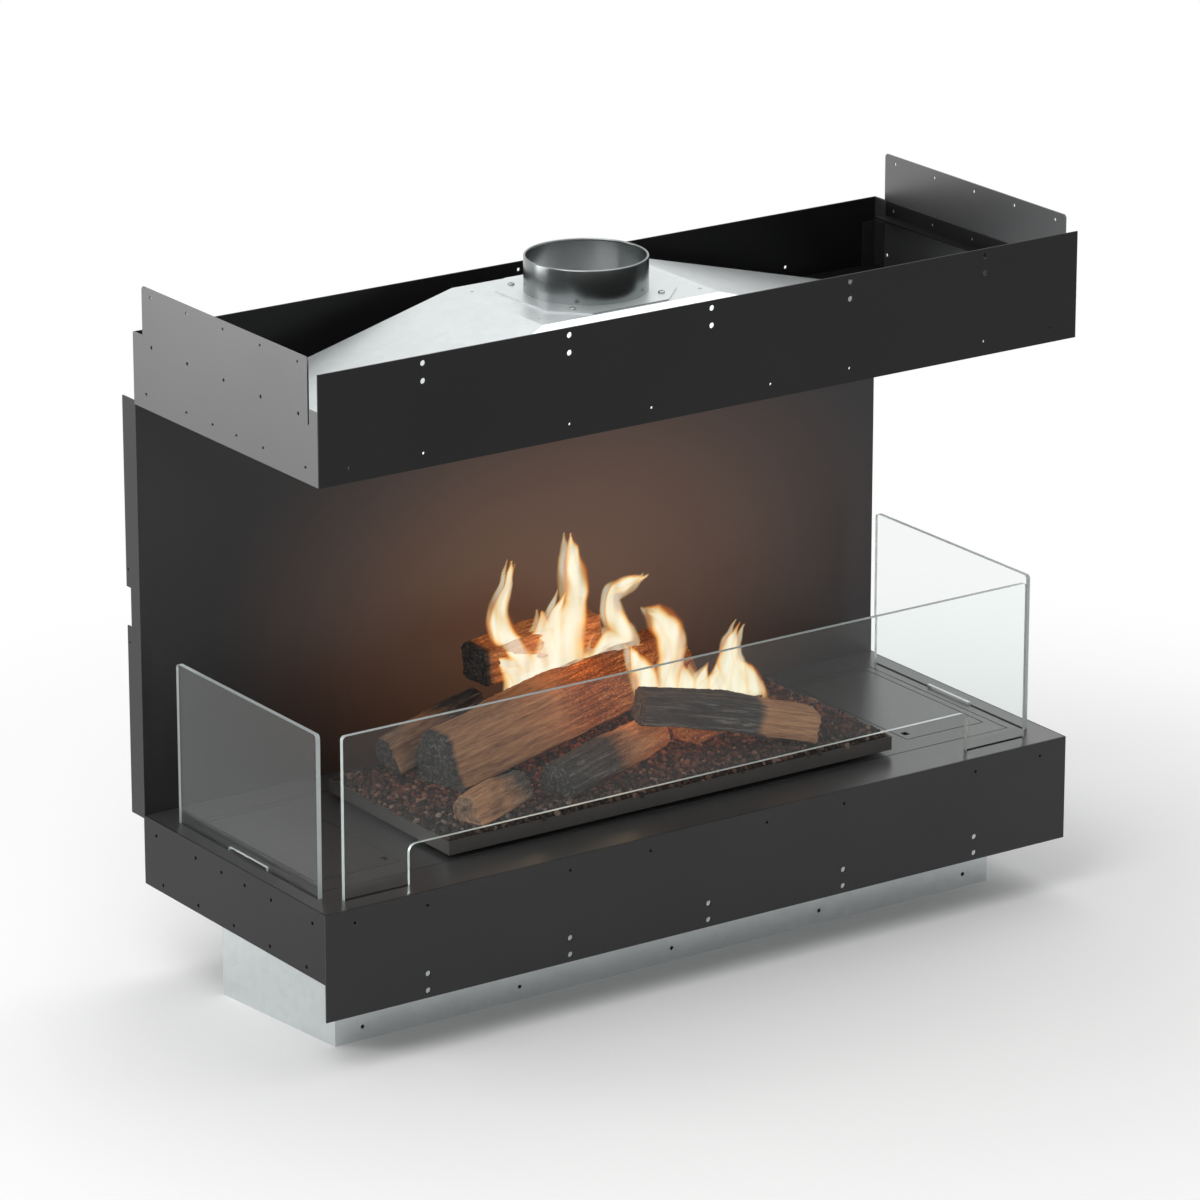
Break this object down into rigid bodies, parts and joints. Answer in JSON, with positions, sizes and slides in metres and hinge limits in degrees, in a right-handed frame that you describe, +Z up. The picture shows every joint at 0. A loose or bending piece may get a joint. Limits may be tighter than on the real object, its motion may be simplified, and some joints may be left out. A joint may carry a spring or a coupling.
{
  "type": "three-sided bioethanol fireplace",
  "caption": "Three-sided built-in bioethanol fireplace frame with low glass panes, ceramic log set, lift-out burner tray, galvanised smoke hood and round flue collar",
  "frame": {"origin": "on the floor, under the middle of the casing, at the centre of the plinth face it stands on", "axes": "+X to the right along the long front, +Y from the front to the back wall, +Z up"},
  "size_m": [1.08, 0.432, 0.8615],
  "materials": {
    "black_paint": "satin black heat-resistant paint",
    "galvanised_sheet": "bright galvanised sheet",
    "stainless_steel": "plain rolled stainless steel",
    "zinc_screws": "zinc plated",
    "clear_glass": "clear toughened glass with polished edges",
    "silicone": "black silicone",
    "ceramic_fibre": "white ceramic fibre",
    "ember_chips": null,
    "ceramic_log": null
  },
  "bodies": {
    "casing": {"plinth": "galvanised_sheet", "base_front_fascia": "black_paint", "base_left_side": "black_paint", "base_right_side": "black_paint", "base_back_panel": "black_paint", "base_pan": "black_paint", "base_corner_angles": "black_paint", "deck_plate": "black_paint", "floor_plate": "black_paint", "floor_ledge_frame": "black_paint", "left_floor_rail": "black_paint", "right_floor_rail": "black_paint", "left_cover_ledge": "black_paint", "right_cover_ledge": "black_paint", "front_glass_seats": "black_paint", "left_glass_seats": "black_paint", "right_glass_seats": "black_paint", "front_glass_liners": "silicone", "left_glass_liners": "silicone", "right_glass_liners": "silicone", "drip_pan": "stainless_steel", "back_wall": "black_paint", "hood_front_fascia": "black_paint", "hood_left_side": "black_paint", "hood_right_side": "black_paint", "hood_back_panel": "black_paint", "hood_left_rail": "black_paint", "hood_right_rail": "black_paint", "hood_corner_angles": "black_paint", "hood_ceiling": "black_paint", "smoke_hood": "galvanised_sheet", "hood_screws": "zinc_screws", "collar_plate": "galvanised_sheet", "flue_collar": "stainless_steel", "collar_screws": "zinc_screws"},
    "front_glass": {"front_glass": "clear_glass"},
    "left_glass": {"left_glass": "clear_glass"},
    "right_glass": {"right_glass": "clear_glass"},
    "left_service_cover": {"left_service_cover": "black_paint"},
    "right_service_cover": {"right_service_cover": "black_paint"},
    "fire_bed": {"fuel_box": "stainless_steel", "ceramic_wool": "ceramic_fibre", "burner_top_plate": "stainless_steel", "shutter_guides": "stainless_steel", "burner_tray": "black_paint", "ember_bed": "ember_chips", "main_log": "ceramic_log", "rear_left_log": "ceramic_log", "rear_top_log": "ceramic_log", "front_left_log": "ceramic_log", "middle_log": "ceramic_log", "right_front_log": "ceramic_log", "inner_log": "ceramic_log", "rear_right_log": "ceramic_log"},
    "shutter": {"shutter": "stainless_steel"}
  },
  "joints": [
    {"name": "front_glass_lift", "type": "slide", "parent": "casing", "child": "front_glass", "axis": [0, 0, 1], "range_m": [0, 0.25]},
    {"name": "left_glass_lift", "type": "slide", "parent": "casing", "child": "left_glass", "axis": [0, 0, 1], "range_m": [0, 0.25]},
    {"name": "right_glass_lift", "type": "slide", "parent": "casing", "child": "right_glass", "axis": [0, 0, 1], "range_m": [0, 0.25]},
    {"name": "left_service_cover_lift", "type": "slide", "parent": "casing", "child": "left_service_cover", "axis": [0, 0, 1], "range_m": [0, 0.22]},
    {"name": "right_service_cover_lift", "type": "slide", "parent": "casing", "child": "right_service_cover", "axis": [0, 0, 1], "range_m": [0, 0.22]},
    {"name": "fire_bed_lift", "type": "slide", "parent": "casing", "child": "fire_bed", "axis": [0, 0, 1], "range_m": [0, 0.28]},
    {"name": "shutter_slide", "type": "slide", "parent": "fire_bed", "child": "shutter", "axis": [1, 0, 0], "range_m": [0, 0.08]}
  ]
}
